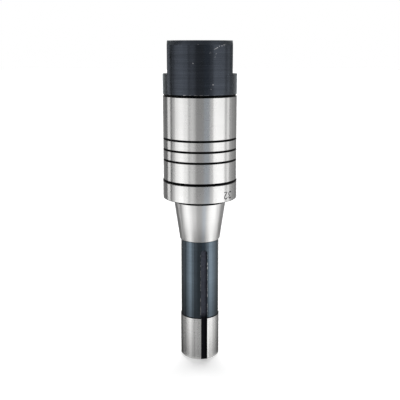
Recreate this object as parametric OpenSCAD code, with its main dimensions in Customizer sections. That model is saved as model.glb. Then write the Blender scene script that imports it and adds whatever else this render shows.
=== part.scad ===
// Slitting saw arbor: an R8 shank, a flange, a 1-1/4 in saw seat with a drive key, five spacers
// and a clamping nut. Millimetres. The origin is the centre of the shank's small end, +Z points
// up towards the nut and the front looks along +Y.

/* [Shank] */
// Length of the shank, from its small end to the large end of the taper
shank_len = 101.6; // [95:0.1:130]
// Diameter at the large end of the taper
taper_big_d = 31.75; // [31:0.05:34]
// Length of the taper
taper_len = 23.81; // [15:0.01:28]
// Half of the taper's included angle, in degrees
taper_half_angle = 8.425; // [7:0.005:9]
// Broken corner at the small end of the taper
taper_edge = 0.2; // [0.1:0.1:0.8]
// Diameter of the ground pilot at the small end
pilot_d = 24.1; // [23.8:0.05:24.4]
// Length of the ground pilot
pilot_len = 28.6; // [15:0.1:60]
// Chamfer round the small end
pilot_chamfer = 1.2; // [0.4:0.1:2]
// Diameter of the blackened neck between the pilot and the taper
neck_d = 23.4; // [22:0.1:23.6]

/* [Shank keyway] */
// Width of the keyway
shank_key_w = 3.97; // [3:0.01:5]
// Depth of the keyway below the pilot's surface
shank_key_depth = 1.97; // [1.2:0.01:2.5]
// Length of the keyway from the small end to its round top end
shank_key_len = 72.6; // [60:0.1:76]
// Angle of the keyways to the right of the front, in degrees
keyway_turn = 13.4; // [0:0.1:45]

/* [Drawbar hole] */
// Diameter of the hole under its fine thread
drawbar_d = 9.92; // [8:0.02:11]
// Depth of the hole to its full diameter
drawbar_depth = 38.1; // [20:0.1:60]
// Diameter of the mouth, a cone that also serves as a grinding centre
drawbar_mouth_d = 12.2; // [11.2:0.1:15]

/* [Flange] */
// Length of the plain collar between the taper and the flange
collar_len = 2.4; // [0.5:0.1:10]
// How much wider the flange is than the ground spacers
flange_over = 0.55; // [0:0.05:10]
// Thickness of the flange
flange_t = 10.6; // [5:0.1:20]
// Chamfer round the flange's lower edge
flange_low_chamfer = 0.3; // [0.1:0.1:2]
// Chamfer round the flange's upper edge
flange_top_chamfer = 0.3; // [0.1:0.05:1]

/* [Saw seat] */
// Diameter of the seat that carries the saw and the spacers
seat_d = 31.75; // [30:0.05:34]
// How far the seat ends below the top of the stacked spacers
seat_short = 1.6; // [0.5:0.1:4]
// Chamfer at the top of the seat
seat_chamfer = 0.8; // [0.3:0.1:1.5]
// Width of the grinding relief at the foot of the seat
seat_relief_w = 1.2; // [0.6:0.1:1.5]
// Depth of the grinding relief
seat_relief_depth = 0.3; // [0.1:0.05:0.8]

/* [Threaded nose] */
// Outer diameter of the thread
thread_d = 25.4; // [22:0.1:27]
// Pitch of the thread, 12 to the inch
thread_pitch = 2.1167; // [1:0.0001:2.5]
// How far the nose ends below the top of the nut
nose_recess = 3.2; // [1:0.1:8]
// Chamfer at the end of the nose
nose_chamfer = 1.2; // [0.5:0.1:2]
// Width of the thread relief above the seat
nose_relief_w = 3; // [2:0.1:5]
// Diameter at the bottom of the thread relief
nose_relief_d = 22.2; // [20:0.1:22.6]
// Diameter of the centre hole's cone
centre_d = 8; // [6:0.1:10]
// Diameter of the centre drill
centre_drill_d = 3.2; // [2:0.1:4]
// Depth of the drill below the centre hole's cone
centre_drill_depth = 4; // [2:0.1:8]

/* [Drive key] */
// Width of the key
key_w = 7.92; // [6:0.02:9.5]
// Height of the key
key_h = 7.92; // [7:0.02:8.5]
// Depth of the key's pocket below the surface of the seat
key_pocket_depth = 4.83; // [4:0.01:5.5]
// Distance from the flange to the pocket
key_start = 1.6; // [0.5:0.1:5]
// Distance from the pocket to the top of the seat
key_stop = 1.6; // [1:0.1:5]
// Broken corner along the top of the key
key_edge = 0.4; // [0.1:0.1:0.8]
// Gap on each side of the key in its pocket
key_fit = 0.01; // [0.005:0.005:0.05]

/* [Spacers] */
// Diameter of the four ground spacers and of the nut
spacer_d = 44.45; // [42:0.05:60]
// How much wider the thin black spacer is than the ground ones
thin_over = 0.55; // [0:0.05:10]
// Thickness of the thin black spacer
thin_spacer_h = 0.794; // [0.6:0.001:3]
// Thickness of the lowest ground spacer
half_inch_h = 12.7; // [6:0.05:20]
// Thickness of the lower quarter-inch spacer
lower_quarter_h = 6.35; // [3:0.05:12]
// Thickness of the upper quarter-inch spacer
upper_quarter_h = 6.35; // [3:0.05:12]
// Thickness of the top spacer
one_inch_h = 25.4; // [10:0.1:40]
// Chamfer round the edges of a ground spacer
spacer_edge = 0.48; // [0.1:0.02:0.8]
// Chamfer round the edges of the thin spacer
thin_edge = 0.15; // [0.05:0.05:0.35]
// Chamfer at both ends of a ground spacer's bore
bore_edge = 0.6; // [0.2:0.1:1.2]
// Gap all round between the seat and a spacer's bore
bore_fit = 0.03; // [0.01:0.01:0.1]
// Gap on each side of the key in a spacer's keyway
key_side_gap = 0.2; // [0.05:0.05:0.4]
// Gap above the key in a spacer's keyway
key_top_gap = 0.33; // [0.1:0.01:0.6]
// Corner radius of a spacer's keyway
keyway_corner = 0.6; // [0.2:0.1:1]

/* [Clamping nut] */
// Height of the nut
nut_h = 31.75; // [26:0.05:50]
// Distance across the two wrench flats
nut_flats = 38.1; // [34:0.1:41]
// Height of the wrench flats, measured down from the top
nut_flats_h = 19.05; // [10:0.05:22]
// Height of the chamfer round the top
nut_top_chamfer_h = 2.6; // [1:0.1:5]
// Width of the chamfer round the top
nut_top_chamfer_w = 1.3; // [0.4:0.1:2.5]
// Broken corner between that chamfer and the top face
nut_top_edge = 0.5; // [0.2:0.1:1]
// Chamfer round the bottom
nut_low_chamfer = 1; // [0.3:0.1:2]
// Chamfer at both mouths of the threaded bore, beyond the thread
nut_mouth = 0.5; // [0.2:0.1:1.5]
// Gap all round between the nose and the nut's bore
thread_fit = 0.05; // [0.01:0.01:0.1]

/* [Hidden] */
$fn = 120;

ground_steel = [0.78, 0.79, 0.8];
black_steel = [0.1, 0.11, 0.13];

// Extra length that lets a cut run out through a surface
over = 1;
// Half angle of the grinding centres and of a twist drill's point
centre_half_angle = 30;
drill_half_angle = 59;

// Radii of the shank
taper_big_r = taper_big_d / 2;
pilot_r = pilot_d / 2;
neck_r = neck_d / 2;
taper_foot_z = shank_len - taper_len;
taper_small_r = taper_big_r - taper_len * tan(taper_half_angle);

// Heights from the small end
flange_low_z = shank_len + collar_len;
flange_top_z = flange_low_z + flange_t;
half_inch_z = flange_top_z + thin_spacer_h;
lower_quarter_z = half_inch_z + half_inch_h;
upper_quarter_z = lower_quarter_z + lower_quarter_h;
one_inch_z = upper_quarter_z + upper_quarter_h;
nut_z = one_inch_z + one_inch_h;
nut_top_z = nut_z + nut_h;
seat_top_z = nut_z - seat_short;
nose_top_z = nut_top_z - nose_recess;

// Seat, flange, spacers and nut
seat_r = seat_d / 2;
bore_r = seat_r + bore_fit;
flange_r = (spacer_d + flange_over) / 2;
thin_spacer_d = spacer_d + thin_over;
nut_r = spacer_d / 2;

// The nose and the nut's bore are plain at the thread's pitch diameter, where its flanks are
// as wide as its gaps: 0.6495 of a pitch less than the outer diameter
pitch_line_share = 0.6495;
thread_r = (thread_d - pitch_line_share * thread_pitch) / 2;
nut_bore_r = thread_r + thread_fit;
nut_mouth_r = thread_d / 2 + nut_mouth;

// Key and keyways
key_floor = seat_r - key_pocket_depth;
key_len = seat_top_z - flange_top_z - key_start - key_stop;
key_low_z = flange_top_z + key_start;
spacer_key_w = key_w + 2 * key_side_gap;
spacer_key_top = key_floor + key_h + key_top_gap;

// Turns what is drawn along +X to the angle of the keyways
module at_keyway() {
  rotate([0, 0, keyway_turn - 90]) children();
}

// A bar with round ends that stands up Z from z = 0, w wide and len long, drawn along +X
// from the distance near to the distance far
module round_ended_bar(w, len, near, far) {
  translate([near, 0, 0]) rotate([90, 0, 90]) linear_extrude(far - near) {
    translate([-w / 2, w / 2]) square([w, len - w]);
    translate([0, w / 2]) circle(d = w);
    translate([0, len - w / 2]) circle(d = w);
  }
}

// The plain turned shapes of the arbor, from the small end up
module ground_pilot() {
  step = pilot_r - neck_r;
  rotate_extrude() polygon([
    [0, 0], [pilot_r - pilot_chamfer, 0], [pilot_r, pilot_chamfer],
    [pilot_r, pilot_len - step], [neck_r, pilot_len], [0, pilot_len]
  ]);
}

module shank_neck() {
  translate([0, 0, pilot_len - over])
    cylinder(r = neck_r, h = taper_foot_z - pilot_len + 2 * over);
}

module taper_and_flange() {
  edge_r = taper_small_r + taper_edge * tan(taper_half_angle);
  rotate_extrude() polygon([
    [0, taper_foot_z], [edge_r - taper_edge, taper_foot_z],
    [edge_r, taper_foot_z + taper_edge],
    [taper_big_r, shank_len], [taper_big_r, flange_low_z],
    [flange_r - flange_low_chamfer, flange_low_z],
    [flange_r, flange_low_z + flange_low_chamfer],
    [flange_r, flange_top_z - flange_top_chamfer],
    [flange_r - flange_top_chamfer, flange_top_z], [0, flange_top_z]
  ]);
}

module seat_and_nose() {
  relief_r = seat_r - seat_relief_depth;
  relief_z = flange_top_z + seat_relief_w;
  groove_r = nose_relief_d / 2;
  groove_z = seat_top_z + nose_relief_w;
  slope = thread_r - groove_r;
  rotate_extrude() polygon([
    [0, flange_top_z - over], [relief_r, flange_top_z - over],
    [relief_r, relief_z - seat_relief_depth], [seat_r, relief_z],
    [seat_r, seat_top_z - seat_chamfer], [seat_r - seat_chamfer, seat_top_z],
    [groove_r, seat_top_z], [groove_r, groove_z - slope], [thread_r, groove_z],
    [thread_r, nose_top_z - nose_chamfer], [thread_r - nose_chamfer, nose_top_z],
    [0, nose_top_z]
  ]);
}

// What is cut out of the arbor
module shank_keyway() {
  at_keyway() translate([0, 0, -shank_key_w])
    round_ended_bar(shank_key_w, shank_key_len + shank_key_w, pilot_r - shank_key_depth,
                    pilot_r + over);
}

module key_pocket() {
  at_keyway() translate([0, 0, key_low_z])
    round_ended_bar(key_w + 2 * key_fit, key_len, key_floor, seat_r + over);
}

module drawbar_hole() {
  hole_r = drawbar_d / 2;
  mouth_r = drawbar_mouth_d / 2;
  cone_h = (mouth_r - hole_r) / tan(centre_half_angle);
  rotate_extrude() polygon([
    [0, -over], [mouth_r + over * tan(centre_half_angle), -over], [hole_r, cone_h],
    [hole_r, drawbar_depth], [0, drawbar_depth + hole_r / tan(drill_half_angle)]
  ]);
}

module centre_hole() {
  cone_r = centre_d / 2;
  drill_r = centre_drill_d / 2;
  cone_h = (cone_r - drill_r) / tan(centre_half_angle);
  drill_z = nose_top_z - cone_h - centre_drill_depth;
  rotate_extrude() polygon([
    [0, nose_top_z + over], [cone_r + over * tan(centre_half_angle), nose_top_z + over],
    [drill_r, nose_top_z - cone_h], [drill_r, drill_z],
    [0, drill_z - drill_r / tan(drill_half_angle)]
  ]);
}

module arbor_body() {
  difference() {
    union() {
      color(ground_steel) ground_pilot();
      color(black_steel) shank_neck();
      color(ground_steel) taper_and_flange();
      color(ground_steel) seat_and_nose();
    }
    color(black_steel) shank_keyway();
    color(ground_steel) key_pocket();
    color(ground_steel) drawbar_hole();
    color(ground_steel) centre_hole();
  }
}

module drive_key() {
  key_top = key_floor + key_h;
  color(ground_steel) at_keyway() translate([0, 0, key_low_z + key_fit])
    intersection() {
      round_ended_bar(key_w, key_len - 2 * key_fit, key_floor, key_top);
      linear_extrude(key_len) polygon([
        [key_floor, -key_w / 2], [key_top - key_edge, -key_w / 2],
        [key_top, key_edge - key_w / 2], [key_top, key_w / 2 - key_edge],
        [key_top - key_edge, key_w / 2], [key_floor, key_w / 2]
      ]);
    }
}

// The keyway that is cut through a spacer h high, from the axis out to its flat top
module spacer_keyway(h) {
  corner_x = spacer_key_top - keyway_corner;
  corner_y = spacer_key_w / 2 - keyway_corner;
  at_keyway() translate([0, 0, -over]) linear_extrude(h + 2 * over) {
    translate([0, -spacer_key_w / 2]) square([corner_x, spacer_key_w]);
    translate([0, -corner_y]) square([spacer_key_top, 2 * corner_y]);
    for (side = [-1, 1]) translate([corner_x, side * corner_y]) circle(r = keyway_corner);
  }
}

// A spacer that stands on z, with its outer edges and the mouths of its bore chamfered
module spacer(z, outer_d, h, edge, mouth) {
  outer_r = outer_d / 2;
  translate([0, 0, z]) difference() {
    rotate_extrude() polygon([
      [bore_r + mouth, 0], [outer_r - edge, 0], [outer_r, edge], [outer_r, h - edge],
      [outer_r - edge, h], [bore_r + mouth, h], [bore_r, h - mouth], [bore_r, mouth]
    ]);
    spacer_keyway(h);
  }
}

module thin_spacer() {
  color(black_steel) spacer(flange_top_z, thin_spacer_d, thin_spacer_h, thin_edge, thin_edge);
}

module half_inch_spacer() {
  color(ground_steel) spacer(half_inch_z, spacer_d, half_inch_h, spacer_edge, bore_edge);
}

module lower_quarter_spacer() {
  color(ground_steel) spacer(lower_quarter_z, spacer_d, lower_quarter_h, spacer_edge, bore_edge);
}

module upper_quarter_spacer() {
  color(ground_steel) spacer(upper_quarter_z, spacer_d, upper_quarter_h, spacer_edge, bore_edge);
}

module one_inch_spacer() {
  color(ground_steel) spacer(one_inch_z, spacer_d, one_inch_h, spacer_edge, bore_edge);
}

// The nut's turned blank, with its bore
module nut_blank() {
  shoulder_r = nut_r - nut_top_chamfer_w;
  mouth_h = nut_mouth_r - nut_bore_r;
  rotate_extrude() polygon([
    [nut_mouth_r, 0], [nut_r - nut_low_chamfer, 0], [nut_r, nut_low_chamfer],
    [nut_r, nut_h - nut_top_chamfer_h], [shoulder_r, nut_h - nut_top_edge],
    [shoulder_r - nut_top_edge, nut_h], [nut_mouth_r, nut_h],
    [nut_bore_r, nut_h - mouth_h], [nut_bore_r, mouth_h]
  ]);
}

// What is milled off the nut on one side, beyond the flat
module flat_cut() {
  translate([nut_flats / 2, -nut_r - over, nut_h - nut_flats_h])
    cube([nut_r, 2 * (nut_r + over), nut_flats_h + over]);
}

module clamp_nut() {
  color(black_steel) translate([0, 0, nut_z]) difference() {
    nut_blank();
    flat_cut();
    mirror([1, 0, 0]) flat_cut();
  }
}

arbor_body();
drive_key();
thin_spacer();
half_inch_spacer();
lower_quarter_spacer();
upper_quarter_spacer();
one_inch_spacer();
clamp_nut();
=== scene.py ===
from math import atan2, ceil, cos, floor, pi, radians, sin, tan

import bmesh
import bpy
from mathutils import Matrix, Vector


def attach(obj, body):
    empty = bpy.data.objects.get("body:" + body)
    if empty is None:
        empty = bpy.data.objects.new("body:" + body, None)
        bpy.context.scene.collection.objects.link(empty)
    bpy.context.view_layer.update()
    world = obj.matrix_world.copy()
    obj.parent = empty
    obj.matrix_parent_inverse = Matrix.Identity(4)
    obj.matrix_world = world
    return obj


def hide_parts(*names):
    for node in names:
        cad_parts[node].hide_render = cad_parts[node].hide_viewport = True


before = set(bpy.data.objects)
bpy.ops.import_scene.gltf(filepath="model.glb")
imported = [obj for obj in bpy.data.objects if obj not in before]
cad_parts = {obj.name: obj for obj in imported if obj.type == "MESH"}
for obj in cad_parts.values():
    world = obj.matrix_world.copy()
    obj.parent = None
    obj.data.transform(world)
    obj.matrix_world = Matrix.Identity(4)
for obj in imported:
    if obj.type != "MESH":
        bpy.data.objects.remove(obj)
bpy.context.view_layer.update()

# ARBOR. One bar of alloy steel, turned, hardened and blackened, then ground bright on the pilot,
# the taper, the flange and the saw seat. The neck and the keyway stay black, and the collar under
# the flange stays black oxide, painted darker still as shade under the flange. Thin bands at the
# pilot's top and under the taper's foot, and the flange's lower chamfer, are painted near black as
# shade. The holes and the nose, threaded 12 to the inch, are left as they were cut.
MM = 0.001
small_end_r, pilot_foot, pilot_r, pilot_top, neck_r = 10.85, 1.2, 12.05, 28.6, 11.7
# pilot_slope is the step down to the neck; the two rims are bands of painted shade at the pilot's top and
# under the taper's foot
pilot_slope, pilot_shade_rim, neck_shade_rim = 0.35, 0.55, 0.35
taper_half_angle, taper_edge = radians(8.425), 0.2
taper_foot, taper_top, taper_r = 77.79, 101.6, 15.875
flange_foot, flange_top, flange_r, flange_edge = 104.0, 114.6, 22.5, 0.3
relief_r, relief_top = 15.575, 115.5
seat_r, seat_foot, seat_top, seat_edge = 15.875, 115.8, 164.594, 0.8
nose_top, nose_r, nose_end_r, groove_r, groove_top = 194.744, 12.7, 10.81, 11.1, 167.306
nose_pitch = 2.1167
nose_root_r = nose_r - 0.6134 * nose_pitch
centre_r, centre_depth, drill_r, drill_depth, drill_point = 4.0, 4.157, 1.6, 8.157, 9.118
drawbar_r, drawbar_root_r, drawbar_deep, drawbar_point = 4.96, 5.54, 38.1, 41.08
drawbar_mouth_r, drawbar_mouth_half_angle = 6.1, radians(30)
drawbar_pitch, drawbar_thread_top = 1.27, 34.3
cutter_overrun, drawbar_overrun, thread_overrun = 1, 2, 4
shank_key_w, shank_key_top, shank_key_floor = 3.97, 72.6, 10.08
keyway_turn = 13.4
to_keyway = Matrix.Rotation(radians(keyway_turn - 90), 3, "Z")
pocket_w, pocket_floor, pocket_foot, pocket_top = 7.94, 11.045, 116.2, 162.994


def ground_finish(name, colour, roughness, lay_share=0.95):
    """Bright ground steel: fine lines run round the axis, so reflections smear along it. The
    share says how far the smear follows the lines."""
    steel = bpy.data.materials.new(name)
    steel.use_nodes = True
    nodes, links = steel.node_tree.nodes, steel.node_tree.links
    shader = nodes["Principled BSDF"]
    shader.inputs["Metallic"].default_value = 1.0
    shader.inputs["Anisotropic"].default_value = lay_share
    shader.inputs["Anisotropic Rotation"].default_value = 0.25
    place = nodes.new("ShaderNodeTexCoord")
    around = nodes.new("ShaderNodeTangent")
    around.direction_type, around.axis = "RADIAL", "Z"
    links.new(around.outputs["Tangent"], shader.inputs["Tangent"])
    # Grinding lines: long round the piece and a tenth of a millimetre wide along it
    lay = nodes.new("ShaderNodeMapping")
    lay.inputs["Scale"].default_value = (60, 60, 7000)
    links.new(place.outputs["Object"], lay.inputs["Vector"])
    lines = nodes.new("ShaderNodeTexNoise")
    lines.inputs["Scale"].default_value = 1.0
    lines.inputs["Detail"].default_value = 3.0
    links.new(lay.outputs["Vector"], lines.inputs["Vector"])
    depth = nodes.new("ShaderNodeBump")
    depth.inputs["Strength"].default_value = 0.02
    depth.inputs["Distance"].default_value = 0.02 * MM
    links.new(lines.outputs["Fac"], depth.inputs["Height"])
    links.new(depth.outputs["Normal"], shader.inputs["Normal"])
    # Faint clouds in the shine, as handling leaves them
    clouds = nodes.new("ShaderNodeTexNoise")
    clouds.inputs["Scale"].default_value = 90.0
    clouds.inputs["Detail"].default_value = 4.0
    links.new(place.outputs["Object"], clouds.inputs["Vector"])
    shine = nodes.new("ShaderNodeMapRange")
    shine.inputs["To Min"].default_value = roughness - 0.03
    shine.inputs["To Max"].default_value = roughness + 0.03
    links.new(clouds.outputs["Fac"], shine.inputs["Value"])
    links.new(shine.outputs["Result"], shader.inputs["Roughness"])
    tone = nodes.new("ShaderNodeValToRGB")
    tone.color_ramp.elements[0].position, tone.color_ramp.elements[1].position = 0.3, 0.7
    tone.color_ramp.elements[0].color = (*[c * 0.93 for c in colour], 1)
    tone.color_ramp.elements[1].color = (*colour, 1)
    links.new(lines.outputs["Fac"], tone.inputs["Fac"])
    links.new(tone.outputs["Color"], shader.inputs["Base Color"])
    return steel


def black_finish(name, colour, roughness, line_width, line_depth, lay_share=0.7, oil=0.0):
    """Black oxide on turned steel, with the lines of the turning tool under it. The share says how
    far its shine follows those lines, and oil is the soft film that shows at its rims."""
    steel = bpy.data.materials.new(name)
    steel.use_nodes = True
    nodes, links = steel.node_tree.nodes, steel.node_tree.links
    shader = nodes["Principled BSDF"]
    shader.inputs["Metallic"].default_value = 1.0
    shader.inputs["Anisotropic"].default_value = lay_share
    shader.inputs["Sheen Weight"].default_value = oil
    shader.inputs["Sheen Roughness"].default_value = 0.35
    shader.inputs["Sheen Tint"].default_value = (0.85, 0.95, 1, 1)
    shader.inputs["Anisotropic Rotation"].default_value = 0.25
    place = nodes.new("ShaderNodeTexCoord")
    around = nodes.new("ShaderNodeTangent")
    around.direction_type, around.axis = "RADIAL", "Z"
    links.new(around.outputs["Tangent"], shader.inputs["Tangent"])
    lay = nodes.new("ShaderNodeMapping")
    lay.inputs["Scale"].default_value = (25, 25, 1 / (line_width * MM))
    links.new(place.outputs["Object"], lay.inputs["Vector"])
    lines = nodes.new("ShaderNodeTexNoise")
    lines.inputs["Scale"].default_value = 1.0
    lines.inputs["Detail"].default_value = 2.0
    links.new(lay.outputs["Vector"], lines.inputs["Vector"])
    depth = nodes.new("ShaderNodeBump")
    depth.inputs["Strength"].default_value = line_depth
    depth.inputs["Distance"].default_value = 0.03 * MM
    links.new(lines.outputs["Fac"], depth.inputs["Height"])
    links.new(depth.outputs["Normal"], shader.inputs["Normal"])
    clouds = nodes.new("ShaderNodeTexNoise")
    clouds.inputs["Scale"].default_value = 160.0
    clouds.inputs["Detail"].default_value = 5.0
    links.new(place.outputs["Object"], clouds.inputs["Vector"])
    shine = nodes.new("ShaderNodeMapRange")
    shine.inputs["From Min"].default_value = 0.3
    shine.inputs["From Max"].default_value = 0.7
    shine.inputs["To Min"].default_value = roughness - 0.06
    shine.inputs["To Max"].default_value = roughness + 0.06
    links.new(clouds.outputs["Fac"], shine.inputs["Value"])
    links.new(shine.outputs["Result"], shader.inputs["Roughness"])
    tone = nodes.new("ShaderNodeValToRGB")
    tone.color_ramp.elements[0].position, tone.color_ramp.elements[1].position = 0.35, 0.65
    tone.color_ramp.elements[0].color = (*[c * 0.75 for c in colour], 1)
    tone.color_ramp.elements[1].color = (*colour, 1)
    links.new(lines.outputs["Fac"], tone.inputs["Fac"])
    links.new(tone.outputs["Color"], shader.inputs["Base Color"])
    return steel


def rubbed_bare(steel, spots, bare=(0.62, 0.61, 0.6)):
    """Shows bright steel where the black is rubbed or chipped off. Each of the spots is a node
    output that is 1 on bare steel."""
    nodes, links = steel.node_tree.nodes, steel.node_tree.links
    colour = nodes["Principled BSDF"].inputs["Base Color"]
    for spot in spots:
        mix = nodes.new("ShaderNodeMix")
        mix.data_type = "RGBA"
        mix.inputs["B"].default_value = (*bare, 1)
        links.new(spot, mix.inputs["Factor"])
        links.new(colour.links[0].from_socket, mix.inputs["A"])
        links.new(mix.outputs["Result"], colour)


def sum_of(nodes, links, operation, first, second, third=None):
    """One step of arithmetic on a node output, with numbers or outputs beside it."""
    step = nodes.new("ShaderNodeMath")
    step.operation = operation
    for slot, value in enumerate((first, second, third)):
        if isinstance(value, (int, float)):
            step.inputs[slot].default_value = value
        elif value is not None:
            links.new(value, step.inputs[slot])
    return step.outputs["Value"]


def along(nodes, links, place, direction):
    """How far a point of the surface lies from the origin in one direction."""
    reach = nodes.new("ShaderNodeVectorMath")
    reach.operation = "DOT_PRODUCT"
    reach.inputs[1].default_value = direction
    links.new(place, reach.inputs[0])
    return reach.outputs["Value"]


ground_steel = ground_finish("ground steel", (0.7, 0.697, 0.69), 0.27)
taper_steel = ground_finish("taper steel", (0.7, 0.697, 0.69), 0.33, 0.9)
cut_steel = ground_finish("cut steel", (0.5, 0.49, 0.48), 0.42)
black_neck = black_finish("black neck", (0.098, 0.125, 0.15), 0.11, 0.12, 0.02, 0.0)
# Near black: the thin ring's own oxide and the digits' strokes, and painted shade on the chamfers between
# parts, under the flange and at both ends of the neck
black_and_painted_shade = black_finish("black and painted shade", (0.005, 0.0055, 0.006), 0.55, 0.3, 0.3)
black_keyway = black_finish("black keyway", (0.012, 0.012, 0.015), 0.5, 0.25, 0.4, 0.0)
GROUND, CUT, NECK, BLACK_AND_SHADE, TAPER = range(5)
arbor_finishes = [ground_steel, cut_steel, black_neck, black_and_painted_shade, taper_steel]

# The two rims of the keyway have lost specks of their black along the neck
nodes, links = black_neck.node_tree.nodes, black_neck.node_tree.links
place = next(n for n in nodes if n.type == "TEX_COORD").outputs["Object"]
turn = radians(keyway_turn)
sideways = along(nodes, links, place, (cos(turn), sin(turn), 0))
outward = along(nodes, links, place, (sin(turn), -cos(turn), 0))
height = along(nodes, links, place, (0, 0, 1))
left_rim_x, left_rim_half_w, right_rim_x, right_rim_half_w = -2.18, 0.22, 2.08, 0.12
worn_middle, worn_half_length, worn_share = 50, 19.5, 0.53
left_rim = sum_of(nodes, links, "COMPARE", sideways, left_rim_x * MM, left_rim_half_w * MM)
right_rim = sum_of(nodes, links, "COMPARE", sideways, right_rim_x * MM, right_rim_half_w * MM)
rim = sum_of(nodes, links, "MAXIMUM", left_rim, right_rim)
rim = sum_of(nodes, links, "MULTIPLY", rim, sum_of(nodes, links, "GREATER_THAN", outward, 0))
rim = sum_of(nodes, links, "MULTIPLY", rim, sum_of(
    nodes, links, "COMPARE", height, worn_middle * MM, worn_half_length * MM))
grains = nodes.new("ShaderNodeTexNoise")
grains.inputs["Scale"].default_value = 1150.0
grains.inputs["Detail"].default_value = 2.0
links.new(place, grains.inputs["Vector"])
rim = sum_of(nodes, links, "MULTIPLY", rim, sum_of(
    nodes, links, "GREATER_THAN", grains.outputs["Fac"], worn_share))
rubbed_bare(black_neck, [rim])

# The keyway's floor is paler along the neck than in the pilot; its walls stay near black as painted shade
nodes, links = black_keyway.node_tree.nodes, black_keyway.node_tree.links
place = next(n for n in nodes if n.type == "TEX_COORD").outputs["Object"]
paler = nodes.new("ShaderNodeMapRange")
pale_foot, pale_full, pale_depth = 28.4, 32, 0.3
paler.inputs["From Min"].default_value = pale_foot * MM
paler.inputs["From Max"].default_value = pale_full * MM
links.new(along(nodes, links, place, (0, 0, 1)), paler.inputs["Value"])
scale = nodes.new("ShaderNodeTexNoise")
scale.inputs["Scale"].default_value = 900.0
scale.inputs["Detail"].default_value = 3.0
links.new(place, scale.inputs["Vector"])
mottled = sum_of(nodes, links, "MULTIPLY", paler.outputs["Result"], sum_of(
    nodes, links, "MULTIPLY_ADD", scale.outputs["Fac"], 1.5, 0.15))
# Only the floor pales, so the walls keep the painted shade of the slot
depth_here = along(nodes, links, place, (sin(turn), -cos(turn), 0))
mottled = sum_of(nodes, links, "MULTIPLY", mottled, sum_of(
    nodes, links, "LESS_THAN", depth_here, (shank_key_floor + pale_depth) * MM))
rubbed_bare(black_keyway, [mottled], bare=(0.075, 0.08, 0.1))


def broken_corners(corners, closed):
    """The outline of a turned piece, with a small round at each corner that has one.
    A corner is (radius, height, size of the round, finish of the wall after it)."""
    outline, count = [], len(corners)
    for i, (r, z, size, finish) in enumerate(corners):
        if not size or (not closed and i in (0, count - 1)):
            outline.append((r, z, finish))
            continue
        here = Vector((r, z))
        back = (Vector(corners[i - 1][:2]) - here).normalized()
        ahead = (Vector(corners[(i + 1) % count][:2]) - here).normalized()
        turn = back.angle(ahead)
        reach = size / tan(turn / 2)
        centre = here + (back + ahead).normalized() * (size / sin(turn / 2))
        first, last = here + back * reach - centre, here + ahead * reach - centre
        swing = atan2(first.x * last.y - first.y * last.x, first.dot(last))
        steps = 4
        for k in range(steps + 1):
            a = swing * k / steps
            spoke = Vector((first.x * cos(a) - first.y * sin(a), first.x * sin(a) + first.y * cos(a)))
            tail = finish if k == steps else (finish if k >= steps / 2 else corners[i - 1][3])
            outline.append((*(centre + spoke), tail))
    return outline


def turned(name, corners, finishes, sides=256, closed=False):
    """Spins an outline round the axis into a solid piece."""
    outline = broken_corners(corners, closed)
    shape = bmesh.new()
    rings = []
    for r, z, _ in outline:
        if r == 0:
            rings.append([shape.verts.new((0, 0, z * MM))] * sides)
        else:
            rings.append([
                shape.verts.new((r * MM * cos(2 * pi * k / sides), r * MM * sin(2 * pi * k / sides),
                                 z * MM))
                for k in range(sides)
            ])
    pairs = len(rings) if closed else len(rings) - 1
    for i in range(pairs):
        low, high = rings[i], rings[(i + 1) % len(rings)]
        for k in range(sides):
            around = (k + 1) % sides
            corner_verts = list(dict.fromkeys((low[k], low[around], high[around], high[k])))
            face = shape.faces.new(corner_verts)
            face.material_index = outline[i][2]
    bmesh.ops.recalc_face_normals(shape, faces=shape.faces)
    return made(name, shape, finishes)


def made(name, shape, finishes):
    """Turns a finished shape into a piece of the scene, smooth but for its true edges."""
    mesh = bpy.data.meshes.new(name)
    shape.to_mesh(mesh)
    shape.free()
    for finish in finishes:
        mesh.materials.append(finish)
    mesh.shade_smooth()
    mesh.set_sharp_from_angle(angle=radians(28))
    piece = bpy.data.objects.new(name, mesh)
    bpy.context.scene.collection.objects.link(piece)
    return piece


def milled(piece, cutter):
    """Takes the cutter's form out of the piece. The cut keeps the cutter's finish."""
    step = piece.modifiers.new("cut", "BOOLEAN")
    step.object, step.operation, step.solver = cutter, "DIFFERENCE", "EXACT"
    step.material_mode = "TRANSFER"
    depsgraph = bpy.context.evaluated_depsgraph_get()
    result = bpy.data.meshes.new_from_object(piece.evaluated_get(depsgraph))
    result.name = piece.name
    piece.modifiers.clear()
    piece.data = result
    result.shade_smooth()
    result.set_sharp_from_angle(angle=radians(28))
    bpy.data.objects.remove(cutter)


def lofted(name, shape, rings, finish):
    """Closes a row of outlines into a solid: a face on each end and walls between neighbours."""
    shape.faces.new(rings[0])
    shape.faces.new(rings[-1])
    for low, high in zip(rings, rings[1:]):
        for k in range(len(low)):
            ahead = (k + 1) % len(low)
            shape.faces.new((low[k], low[ahead], high[ahead], high[k]))
    bmesh.ops.recalc_face_normals(shape, faces=shape.faces)
    return made(name, shape, [finish])


def pushed_out(name, outline, near, far, finish):
    """A straight bar with an outline of (sideways, height) points, from near to far of the axis,
    turned to the angle of the keyways."""
    shape = bmesh.new()
    ends = [[shape.verts.new(to_keyway @ Vector((x, y, z)) * MM) for y, z in outline]
            for x in (near, far)]
    return lofted(name, shape, ends, finish)


def round_ended(width, foot, top, steps=24):
    """The outline of a cut that an end mill leaves: straight sides and round ends."""
    half = width / 2
    upper = [(half * cos(pi * k / steps), top - half + half * sin(pi * k / steps))
             for k in range(steps + 1)]
    lower = [(-side, foot + top - up) for side, up in upper]
    return upper + lower


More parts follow.
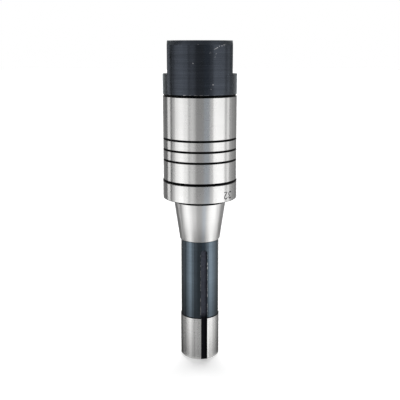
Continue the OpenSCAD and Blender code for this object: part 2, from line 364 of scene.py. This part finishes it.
def screw_cut(name, tooth, pitch, foot, top, finish, sides=144):
    """What a threading tool sweeps as it climbs one pitch in each turn, from the first whole turn
    above foot to the last below top. The tooth is its outline of (share of the pitch, radius)."""
    shape = bmesh.new()
    path = []
    for k in range(ceil(foot / pitch) * sides, floor(top / pitch) * sides + 1):
        a = 2 * pi * k / sides
        path.append([shape.verts.new((r * MM * cos(a), r * MM * sin(a), (share + k / sides) * pitch * MM))
                     for share, r in tooth])
    for here, ahead in zip(path, path[1:]):
        for k in range(len(tooth)):
            beside = (k + 1) % len(tooth)
            shape.faces.new((here[k], here[beside], ahead[beside], ahead[k]))
    shape.faces.new(path[0])
    shape.faces.new(path[-1])
    bmesh.ops.recalc_face_normals(shape, faces=shape.faces)
    return made(name, shape, [finish])


def tooth_form(crest_r, crest_share, root_r, root_share):
    """The outline of a threading tool. The cut is twice crest_share of the pitch wide at the crests
    and twice root_share at its root. It reaches a little past the crests, to cut clear of them."""
    past_crest = 0.08 if crest_r > root_r else -0.08
    wide = crest_share + (crest_share - root_share) * past_crest / (crest_r - root_r)
    open_r = crest_r + past_crest
    return [(-wide, open_r), (-root_share, root_r), (root_share, root_r), (wide, open_r)]


taper_small_r = taper_r - (taper_top - taper_foot) * tan(taper_half_angle)
taper_edge_r = taper_small_r + taper_edge * tan(taper_half_angle)
# Painted shade in this outline: near-black bands at the pilot's step to the neck, under the taper's foot,
# on the collar and on the flange's lower chamfer
arbor = turned("arbor", [
    (0, drawbar_point, 0, CUT), (drawbar_r, drawbar_deep, 0, CUT),
    (drawbar_r, (drawbar_mouth_r - drawbar_r) / tan(drawbar_mouth_half_angle), 0, CUT),
    (drawbar_mouth_r, 0, 0, CUT), (small_end_r, 0, 0.15, GROUND), (pilot_r, pilot_foot, 0.2, GROUND),
    (pilot_r, pilot_top - pilot_shade_rim, 0, BLACK_AND_SHADE), (pilot_r, pilot_top - pilot_slope, 0.06, BLACK_AND_SHADE),
    (neck_r, pilot_top, 0.1, NECK), (neck_r, taper_foot - neck_shade_rim, 0, BLACK_AND_SHADE),
    (neck_r, taper_foot, 0.1, BLACK_AND_SHADE), (taper_edge_r - taper_edge, taper_foot, 0.04, TAPER),
    (taper_edge_r, taper_foot + taper_edge, 0.1, TAPER), (taper_r, taper_top, 0.1, BLACK_AND_SHADE),
    (taper_r, flange_foot, 0.2, BLACK_AND_SHADE), (flange_r - flange_edge, flange_foot, 0.08, BLACK_AND_SHADE),
    (flange_r, flange_foot + flange_edge, 0.1, GROUND),
    (flange_r, flange_top - flange_edge, 0.08, GROUND),
    (flange_r - flange_edge, flange_top, 0.08, GROUND), (relief_r, flange_top, 0.1, CUT),
    (relief_r, relief_top, 0.1, CUT), (seat_r, seat_foot, 0.05, GROUND),
    (seat_r, seat_top - seat_edge, 0.1, CUT), (seat_r - seat_edge, seat_top, 0.05, CUT),
    (groove_r, seat_top, 0.3, CUT), (groove_r, groove_top, 0.2, CUT),
    (nose_r, groove_top + nose_r - groove_r, 0, CUT),
    (nose_r, nose_top - nose_r + nose_end_r, 0, CUT),
    (nose_end_r, nose_top, 0.1, CUT), (centre_r, nose_top, 0.05, CUT),
    (drill_r, nose_top - centre_depth, 0, CUT), (drill_r, nose_top - drill_depth, 0, CUT),
    (0, nose_top - drill_point, 0, CUT),
], arbor_finishes)

milled(arbor, pushed_out("shank keyway", round_ended(shank_key_w, -shank_key_w, shank_key_top),
                         shank_key_floor, pilot_r + cutter_overrun, black_keyway))
milled(arbor, pushed_out("key pocket", round_ended(pocket_w, pocket_foot, pocket_top),
                         pocket_floor, seat_r + cutter_overrun, cut_steel))

# The number on the flange, read with the arbor held nose down: each digit is one stroke of a
# round-nosed engraving cutter. Its points are (along the rim, up) from the digit's middle.
stroke_r, number_height, number_scale = 0.3, 108.0, 0.92
digit_two = [(-1.3, 1.2), (-1.1, 1.8), (-0.5, 2.15), (0.1, 2.2), (0.8, 1.95), (1.25, 1.3),
             (1.15, 0.6), (0.6, -0.2), (-0.4, -1.2), (-1.3, -2.15), (1.4, -2.2)]
digit_three = [(-1.25, 1.45), (-0.8, 2.0), (0, 2.2), (0.8, 1.95), (1.15, 1.3), (0.85, 0.65),
               (0.1, 0.25), (0.95, -0.15), (1.35, -0.9), (1.0, -1.75), (0.1, -2.2), (-0.8, -2.0),
               (-1.35, -1.4)]
two_bearing, three_bearing = 43.4, 52.8
for name, stroke, bearing in (("digit two", digit_two, two_bearing),
                              ("digit three", digit_three, three_bearing)):
    path = bpy.data.curves.new(name, "CURVE")
    path.dimensions, path.bevel_depth, path.bevel_resolution = "3D", stroke_r * MM, 2
    path.use_fill_caps = True
    line = path.splines.new("POLY")
    line.points.add(len(stroke) - 1)
    for point, (x, y) in zip(line.points, stroke):
        a = radians(bearing) - number_scale * x / flange_r
        height = number_height - number_scale * y
        point.co = (flange_r * MM * sin(a), -flange_r * MM * cos(a), height * MM, 1)
    tube = bpy.data.objects.new(name, path)
    bpy.context.scene.collection.objects.link(tube)
    shape = bmesh.new()
    shape.from_mesh(bpy.data.meshes.new_from_object(tube))
    bmesh.ops.recalc_face_normals(shape, faces=shape.faces)
    bpy.data.objects.remove(tube)
    milled(arbor, made(name, shape, [black_and_painted_shade]))

# The nose is cut half a pitch from the nut, so that its crests lie in the nut's grooves
nose_tooth = [(share + 0.5, r) for share, r in tooth_form(nose_r, 0.4375, nose_root_r, 0.0833)]
milled(arbor, screw_cut("nose thread", nose_tooth, nose_pitch, seat_top,
                        nose_top + thread_overrun, cut_steel))
drawbar_tooth = tooth_form(drawbar_r, 0.375, drawbar_root_r, 0.0625)
milled(arbor, screw_cut("drawbar thread", drawbar_tooth, drawbar_pitch, -drawbar_overrun,
                        drawbar_thread_top, cut_steel, 96))
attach(arbor, "arbor")
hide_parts("arbor_body")

# DRIVE KEY. A short bar of square key steel with round ends, pressed into its pocket in the saw
# seat. It drives the saw and keeps the keyways of the spacers in line.
key_w, key_floor, key_top, key_edge = 7.92, 11.045, 18.965, 0.4
key_foot, key_end = 116.21, 162.984


def key_ring(shape, x, inset):
    """The key's outline at the distance x from the axis, drawn in by the inset all round."""
    outline = round_ended(key_w - 2 * inset, key_foot + inset, key_end - inset)
    return [shape.verts.new(to_keyway @ Vector((x, y, z)) * MM) for y, z in outline]


shape = bmesh.new()
rings = [key_ring(shape, key_floor, key_edge / 2), key_ring(shape, key_floor + key_edge / 2, 0),
         key_ring(shape, key_top - key_edge, 0), key_ring(shape, key_top, key_edge)]
drive_key = lofted("drive_key_steel", shape, rings, cut_steel)
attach(drive_key, "arbor")
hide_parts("drive_key")

# SPACERS. Five rings of hardened steel that slide over the seat, with a keyway broached through
# each bore. Four are ground on the outside, the faces and the bore, and their chamfers are painted
# near black, the shade in the grooves between the rings. The thin one on the flange is black all over.
bore_r, ring_key_w, ring_key_top, ring_key_corner = 15.905, 8.32, 19.295, 0.6
thin_ring_r, thin_ring_edge, ring_r, ring_edge, ring_mouth = 22.5, 0.15, 22.225, 0.48, 0.6
thin_ring_h, half_inch_h, quarter_inch_h, one_inch_h = 0.794, 12.7, 6.35, 25.4
half_inch_foot, lower_quarter_foot = 115.394, 128.094
upper_quarter_foot, one_inch_foot = 134.444, 140.794
# Widths of the bands of painted shade that run from the rings' outer chamfers over their sides, in mm
painted_shade_rim, one_inch_top_rim = 0.18, 0.03


def keyway_bar(foot, height):
    """The broach's form: a flat-topped slot with two round corners."""
    steps = 8
    half, top = ring_key_w / 2 - ring_key_corner, ring_key_top - ring_key_corner
    outline = [(0, -ring_key_w / 2)]
    for middle, first in ((-half, -pi / 2), (half, 0)):
        for k in range(steps + 1):
            a = first + pi / 2 * k / steps
            outline.append((top + ring_key_corner * cos(a), middle + ring_key_corner * sin(a)))
    outline.append((0, ring_key_w / 2))
    shape = bmesh.new()
    ends = [[shape.verts.new(to_keyway @ Vector((x, y, z)) * MM) for x, y in outline]
            for z in (foot - cutter_overrun, foot + height + cutter_overrun)]
    return lofted("broach", shape, ends, cut_steel)


def spacer_ring(name, foot, height, outer_r, edge, mouth, finish, edge_finish, top_rim=painted_shade_rim):
    """A ring with chamfered edges and bore. Its chamfers take edge_finish, on the steel rings a near
    black that is painted shade between the rings, and it runs on a little way over the side, by
    painted_shade_rim at the foot and by top_rim at the top."""
    top = foot + height
    ring = turned(name, [
        (bore_r + mouth, foot, 0, finish), (outer_r - edge, foot, edge / 8, edge_finish),
        (outer_r, foot + edge, edge / 10, edge_finish),
        (outer_r, foot + edge + painted_shade_rim, 0, finish),
        (outer_r, top - edge - top_rim, 0, edge_finish),
        (outer_r, top - edge, edge / 10, edge_finish),
        (outer_r - edge, top, edge / 8, finish), (bore_r + mouth, top, 0, edge_finish),
        (bore_r, top - mouth, 0, finish), (bore_r, foot + mouth, 0, edge_finish),
    ], arbor_finishes, closed=True)
    milled(ring, keyway_bar(foot, height))
    return ring


thin_ring = spacer_ring("thin_black_ring", flange_top, thin_ring_h, thin_ring_r,
                        thin_ring_edge, thin_ring_edge, BLACK_AND_SHADE, BLACK_AND_SHADE)
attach(thin_ring, "thin_ring")
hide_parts("thin_spacer")

half_inch_ring = spacer_ring("half_inch_ring_steel", half_inch_foot, half_inch_h, ring_r,
                             ring_edge, ring_mouth, GROUND, BLACK_AND_SHADE)
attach(half_inch_ring, "half_inch_ring")
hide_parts("half_inch_spacer")

lower_quarter_ring = spacer_ring("lower_quarter_ring_steel", lower_quarter_foot, quarter_inch_h,
                                 ring_r, ring_edge, ring_mouth, GROUND, BLACK_AND_SHADE)
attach(lower_quarter_ring, "lower_quarter_ring")
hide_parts("lower_quarter_spacer")

upper_quarter_ring = spacer_ring("upper_quarter_ring_steel", upper_quarter_foot, quarter_inch_h,
                                 ring_r, ring_edge, ring_mouth, GROUND, BLACK_AND_SHADE)
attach(upper_quarter_ring, "upper_quarter_ring")
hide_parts("upper_quarter_spacer")

one_inch_ring = spacer_ring("one_inch_ring_steel", one_inch_foot, one_inch_h, ring_r,
                            ring_edge, ring_mouth, GROUND, BLACK_AND_SHADE, one_inch_top_rim)
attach(one_inch_ring, "one_inch_ring")
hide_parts("one_inch_spacer")

# CLAMPING NUT. A round bar of steel, turned, bored and threaded to suit the nose, with two
# flats milled for a wrench. It is blackened and left as turned, and screws down on the spacers.
nut_foot, nut_top, nut_r = 166.194, 197.944, 22.225
flat_x, flat_foot = 19.05, 178.894
nut_low_chamfer, nut_top_chamfer_h, nut_top_chamfer_w, nut_top_edge = 1, 2.6, 1.3, 0.5
nut_root_r, nut_crest_r, nut_mouth_r = 12.74, 11.6, 13.2
chips_on_front = (((-3.86, -21.89, 185.2), 0.34), ((7.51, -20.92, 173.3), 0.36))
black_nut = black_finish("black nut", (0.056, 0.064, 0.079), 0.27, 0.45, 0.3, 0.85, 0.6)
nodes, links = black_nut.node_tree.nodes, black_nut.node_tree.links
place = next(n for n in nodes if n.type == "TEX_COORD").outputs["Object"]
chips = []
for where, size in chips_on_front:
    gap = nodes.new("ShaderNodeVectorMath")
    gap.operation = "DISTANCE"
    gap.inputs[1].default_value = [c * MM for c in where]
    links.new(place, gap.inputs[0])
    chips.append(sum_of(nodes, links, "LESS_THAN", gap.outputs["Value"], size * MM))


def scraped(nodes, links, place, bearing, height, length, slope, width):
    """A thin line scraped through the black on the nut's front."""
    a = radians(bearing)
    aside = along(nodes, links, place, (cos(a), sin(a), 0))
    outward = along(nodes, links, place, (sin(a), -cos(a), 0))
    rise = sum_of(nodes, links, "MULTIPLY_ADD", aside, -slope, along(nodes, links, place, (0, 0, 1)))
    line = sum_of(nodes, links, "MULTIPLY",
                  sum_of(nodes, links, "COMPARE", rise, height * MM, width / 2 * MM),
                  sum_of(nodes, links, "COMPARE", aside, 0, length / 2 * MM))
    return sum_of(nodes, links, "MULTIPLY", line, sum_of(nodes, links, "GREATER_THAN", outward, 0))


def ragged(nodes, links, place, mark, lay, amount):
    """Breaks a worn mark into grains and dashes. The lay gives their number in each metre."""
    stretch = nodes.new("ShaderNodeMapping")
    stretch.inputs["Scale"].default_value = lay
    links.new(place, stretch.inputs["Vector"])
    grains = nodes.new("ShaderNodeTexNoise")
    grains.inputs["Scale"].default_value = 1.0
    grains.inputs["Detail"].default_value = 2.0
    links.new(stretch.outputs["Vector"], grains.inputs["Vector"])
    return sum_of(nodes, links, "MULTIPLY", mark, sum_of(
        nodes, links, "GREATER_THAN", grains.outputs["Fac"], amount))


for bearing, height, length, slope, width, amount in (
        (26, 193.8, 3.6, 0.5, 0.45, 0.5), (33, 194.8, 3.6, 0.02, 0.4, 0.53),
        (15, 191.0, 1.8, -0.3, 0.8, 0.56), (24, 190.0, 1.6, 2.5, 1.2, 0.6),
        (12, 170.2, 4.0, 0.2, 0.9, 0.63)):
    mark = scraped(nodes, links, place, bearing, height, length, slope, width)
    chips.append(ragged(nodes, links, place, mark, (1500, 1500, 1500), amount))
# The rims of both chamfers are rubbed too
for height, half_width, amount in ((nut_foot + 1.1, 0.14, 0.56), (nut_top - 2.5, 0.25, 0.66)):
    band = sum_of(nodes, links, "COMPARE", along(nodes, links, place, (0, 0, 1)),
                  height * MM, half_width * MM)
    chips.append(ragged(nodes, links, place, band, (420, 420, 1200), amount))
rubbed_bare(black_nut, chips, bare=(0.32, 0.32, 0.33))
black_thread = black_finish("black thread", (0.06, 0.06, 0.062), 0.4, 0.3, 0.2)
AS_TURNED, THREAD, LOW_EDGE_SHADE = range(3)
# The nut's lower chamfer takes the near black: painted shade in the gap over the one inch ring
nut = turned("clamping_nut_steel", [
    (nut_mouth_r, nut_foot, 0, AS_TURNED), (nut_r - nut_low_chamfer, nut_foot, 0.15, LOW_EDGE_SHADE),
    (nut_r, nut_foot + nut_low_chamfer, 0.3, AS_TURNED),
    (nut_r, nut_top - nut_top_chamfer_h, 0.8, AS_TURNED),
    (nut_r - nut_top_chamfer_w, nut_top - nut_top_edge, 0.3, AS_TURNED),
    (nut_r - nut_top_chamfer_w - nut_top_edge, nut_top, 0.15, AS_TURNED),
    (nut_mouth_r, nut_top, 0.05, THREAD), (nut_crest_r, nut_top - nut_mouth_r + nut_crest_r, 0, THREAD),
    (nut_crest_r, nut_foot + nut_mouth_r - nut_crest_r, 0, THREAD),
], [black_nut, black_thread, black_and_painted_shade], closed=True)
cutter_w, cutter_len, cutter_h = 10, 60, 40
for side in (-1, 1):
    shape = bmesh.new()
    bmesh.ops.create_cube(shape, size=1)
    bmesh.ops.scale(shape, verts=shape.verts, vec=(cutter_w * MM, cutter_len * MM, cutter_h * MM))
    bmesh.ops.translate(shape, verts=shape.verts, vec=(
        side * (flat_x + cutter_w / 2) * MM, 0, (flat_foot + cutter_h / 2) * MM))
    milled(nut, made("flat cutter", shape, [black_nut]))
nut_tooth = tooth_form(nut_crest_r, 0.375, nut_root_r, 0.0625)
milled(nut, screw_cut("nut thread", nut_tooth, nose_pitch, nut_foot - thread_overrun,
                      nut_top + thread_overrun, black_thread))
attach(nut, "nut")
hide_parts("clamp_nut")

# STUDIO. The arbor stands on a white sheet. Soft cards stand round it out of the picture, the
# brightest at its left and right, dimmer grey ones in front, between them and behind.
sheet_r, sheet_glow = 6.0, 0.46
overhead_r, overhead_height, overhead_glow = 0.7, 1.1, 0.6
soft_air_strength, white_air_strength = 0.15, 1.0


def in_picture(nodes, links):
    """Is 1 for the camera, for reflections and for what is seen through something clear, and 0
    for the light that falls on surfaces."""
    seen = nodes.new("ShaderNodeLightPath")
    either = sum_of(
        nodes, links, "MAXIMUM", seen.outputs["Is Camera Ray"], seen.outputs["Is Glossy Ray"])
    return sum_of(nodes, links, "MAXIMUM", either, seen.outputs["Is Transmission Ray"])


def only_reflected(piece):
    """Hides the piece from everything but reflections."""
    for ray in ("camera", "diffuse", "shadow", "transmission", "volume_scatter"):
        setattr(piece, "visible_" + ray, False)


sheet_shape = bmesh.new()
bmesh.ops.create_circle(sheet_shape, cap_ends=True, segments=96, radius=sheet_r)
white_paper = bpy.data.materials.new("white sheet")
sheet = made("white_sheet", sheet_shape, [white_paper])
white_paper.use_nodes = True
nodes, links = white_paper.node_tree.nodes, white_paper.node_tree.links
nodes.clear()
output = nodes.new("ShaderNodeOutputMaterial")
both = nodes.new("ShaderNodeAddShader")
matt = nodes.new("ShaderNodeBsdfDiffuse")
matt.inputs["Color"].default_value = (0.8, 0.8, 0.8, 1)
glow = nodes.new("ShaderNodeEmission")
seen_glow = sum_of(nodes, links, "MULTIPLY", in_picture(nodes, links), sheet_glow)
links.new(seen_glow, glow.inputs["Strength"])
links.new(matt.outputs[0], both.inputs[0])
links.new(glow.outputs[0], both.inputs[1])
links.new(both.outputs[0], output.inputs["Surface"])


def card(name, start, end, foot, on_sheet, upright, collar, near_share=0.42, tint=(1, 1, 1)):
    """A soft card from one bearing to another, in degrees to the right of the camera's side. It
    lies on the sheet near the arbor and curves up, and only the steel sees it. It starts 2 mm
    off a circle of the shank's size, so that each streak runs straight down the shank. It has a
    brightness for the part round the foot, for the rest on the sheet, for the part that stands
    up and for a sloping strip, 2 to 10 cm off and below the taper's foot, that gives the taper
    its look. From 14 cm up, at the foot of the one inch ring, to 20 cm it grows dimmer."""
    shape = bmesh.new()
    foot_part, sheet_part, upright_part, collar_part = range(4)
    shank_r, dim_from, dim_to, dim_share = 0.012, 0.14, 0.2, 0.66
    outline = [(0.002, 0.0005), (0.03, 0.001), (0.065, 0.001), (0.14, 0.001), (0.28, 0.001),
               (0.44, 0.04), (0.56, 0.14), (0.61, 0.3), (0.61, 1.1)]
    parts = [foot_part] * 2 + [sheet_part] * 2 + [upright_part] * 4
    collar_outline = [(0.02, 0.073), (0.1, 0.0515)]
    steps = max(2, int(abs(end - start) / 2))
    rows = []
    for k in range(steps + 1):
        a = radians(start + (end - start) * k / steps)
        rows.append([shape.verts.new((shank_r * sin(a / 2) + d * sin(a),
                                      -shank_r * cos(a / 2) - d * cos(a), z))
                     for d, z in outline + collar_outline])
    for low, high in zip(rows, rows[1:]):
        for j, part in enumerate(parts):
            shape.faces.new((low[j], high[j], high[j + 1], low[j + 1])).material_index = part
        shape.faces.new((low[-2], high[-2], high[-1], low[-1])).material_index = collar_part
    paints = []
    # Each brightness, its share at the near end, and where it starts and ends to grow
    for brightness, near, first, last in (
            (foot, 0.42, 0.02, 0.075), (on_sheet, near_share, 0.08, 0.18), (upright, 1, 0, 1),
            (collar, 1, 0, 1)):
        paint = bpy.data.materials.new(name)
        paint.use_nodes = True
        nodes, links = paint.node_tree.nodes, paint.node_tree.links
        nodes.clear()
        place = nodes.new("ShaderNodeTexCoord")
        reach = nodes.new("ShaderNodeVectorMath")
        reach.operation = "LENGTH"
        links.new(place.outputs["Object"], reach.inputs[0])
        fade = nodes.new("ShaderNodeMapRange")
        fade.inputs["From Min"].default_value, fade.inputs["From Max"].default_value = first, last
        fade.inputs["To Min"].default_value = brightness * near
        fade.inputs["To Max"].default_value = brightness
        links.new(reach.outputs["Value"], fade.inputs["Value"])
        dimmer = nodes.new("ShaderNodeMapRange")
        for slot, value in (("From Min", dim_from), ("From Max", dim_to), ("To Min", 1.0),
                            ("To Max", dim_share)):
            dimmer.inputs[slot].default_value = value
        links.new(along(nodes, links, place.outputs["Object"], (0, 0, 1)), dimmer.inputs["Value"])
        strength = sum_of(nodes, links, "MULTIPLY", fade.outputs["Result"], dimmer.outputs["Result"])
        light = nodes.new("ShaderNodeEmission")
        light.inputs["Color"].default_value = (*tint, 1)
        links.new(strength, light.inputs["Strength"])
        sink = nodes.new("ShaderNodeOutputMaterial")
        links.new(light.outputs[0], sink.inputs["Surface"])
        paints.append(paint)
    piece = made(name, shape, paints)
    only_reflected(piece)


# From the far left round the front to the far right, and then the two behind: the bearings, and
# the brightness of the foot, of the rest on the sheet, of the upright part and of the strip
card("card_far_left", -162, -136, 0.14, 0.18, 0.24, 0.14)
card("card_left_rim", -136, -119, 0.2, 0.3, 0.18, 0.14)
card("card_left_grey", -119, -104, 0.5, 0.46, 1.14, 0.43)
card("card_left_gap", -104, -95.5, 0.34, 0.35, 0.1, 0.74)
card("card_left_soft", -95.5, -83, 0.64, 0.82, 0.66, 1.16)
card("card_left_broad", -83, -70, 0.88, 1.4, 1.3, 1.57)
card("card_left_bright", -70, -52, 1.24, 2.0, 1.47, 1.78)
card("card_left_near", -52, -37, 0.78, 1.0, 1.26, 1.62)
card("card_left_slit", -37, -30, 0.44, 0.45, 0.66, 1.38)
card("card_front_left", -30, -20, 0.82, 0.48, 0.89, 1.3)
card("card_front_edge", -20, -13, 0.72, 0.32, 0.71, 0.95, 0.8)
card("card_front", -13, 13, 0.74, 0.24, 0.37, 0.86, 0.9)
card("card_front_blue", 13, 31, 0.76, 0.32, 0.49, 1.13, 0.8, (0.85, 0.92, 1))
card("card_front_right", 31, 42, 0.9, 0.5, 0.72, 1.36)
card("card_right_near", 42, 57, 2.35, 0.95, 1.54, 1.8)
card("card_right_bright", 57, 83, 1.52, 2.2, 1.45, 1.76)
card("card_right_soft", 83, 87.5, 1.1, 1.65, 0.68, 1.6)
card("card_right_gap", 87.5, 92.5, 1.0, 1.4, 0.66, 1.52)
card("card_right_line", 92.5, 103, 1.0, 1.45, 1.2, 1.37)
card("card_right_grey", 103, 118, 0.7, 0.9, 0.52, 0.8)
card("card_right_rim", 118, 136, 0.38, 0.48, 0.38, 0.23)
card("card_far_right", 136, 162, 0.26, 0.4, 0.27, 0.23)
card("card_back_right", 162, 180, 0.7, 0.7, 0.9, 0.57)
card("card_back_left", -180, -162, 0.7, 0.7, 0.9, 0.57)

lid_shape = bmesh.new()
bmesh.ops.create_circle(lid_shape, cap_ends=True, segments=48, radius=overhead_r)
bmesh.ops.translate(lid_shape, verts=lid_shape.verts, vec=(0, 0, overhead_height))
lid_paint = bpy.data.materials.new("overhead card")
lid_paint.use_nodes = True
nodes, links = lid_paint.node_tree.nodes, lid_paint.node_tree.links
nodes.clear()
lid_light = nodes.new("ShaderNodeEmission")
lid_light.inputs["Strength"].default_value = overhead_glow
lid_sink = nodes.new("ShaderNodeOutputMaterial")
links.new(lid_light.outputs[0], lid_sink.inputs["Surface"])
lid = made("overhead_card", lid_shape, [lid_paint])
only_reflected(lid)

# The air is white wherever it shows, and lights the arbor only softly
world = bpy.data.worlds.new("studio air")
bpy.context.scene.world = world
world.use_nodes = True
nodes, links = world.node_tree.nodes, world.node_tree.links
nodes.clear()
output = nodes.new("ShaderNodeOutputWorld")
mixed = nodes.new("ShaderNodeMixShader")
links.new(in_picture(nodes, links), mixed.inputs["Fac"])
for slot, strength in ((1, soft_air_strength), (2, white_air_strength)):
    air = nodes.new("ShaderNodeBackground")
    air.inputs["Color"].default_value = (1, 1, 1, 1)
    air.inputs["Strength"].default_value = strength
    links.new(air.outputs[0], mixed.inputs[slot])
links.new(mixed.outputs[0], output.inputs["Surface"])

# Four soft lights in a row behind the arbor: only close to its foot are all of them hidden
light_strength, light_width, light_tilt = 0.87, radians(24), radians(-40)
for name, turn in (("light_1", -36), ("light_2", -14), ("light_3", 14), ("light_4", 36)):
    sun = bpy.data.lights.new(name, "SUN")
    sun.energy, sun.angle = light_strength, light_width
    back_light = bpy.data.objects.new(name, sun)
    back_light.rotation_euler = (light_tilt, 0, radians(turn))
    back_light.visible_glossy = False
    bpy.context.scene.collection.objects.link(back_light)

# CAMERA. It stands 41 cm in front of the arbor, just below the height of the nut's top, and
# looks down by 12.6 degrees.
lens = bpy.data.cameras.new("lens")
lens.lens, lens.sensor_width, lens.shift_x = 61.38, 36.0, 0.0004
camera = bpy.data.objects.new("camera", lens)
camera.location = (0, -0.4124, 0.1939)
look_down = 12.6
camera.rotation_euler = (radians(90 - look_down), 0, 0)
bpy.context.scene.collection.objects.link(camera)
bpy.context.scene.camera = camera
bpy.context.scene.view_settings.view_transform = "Standard"
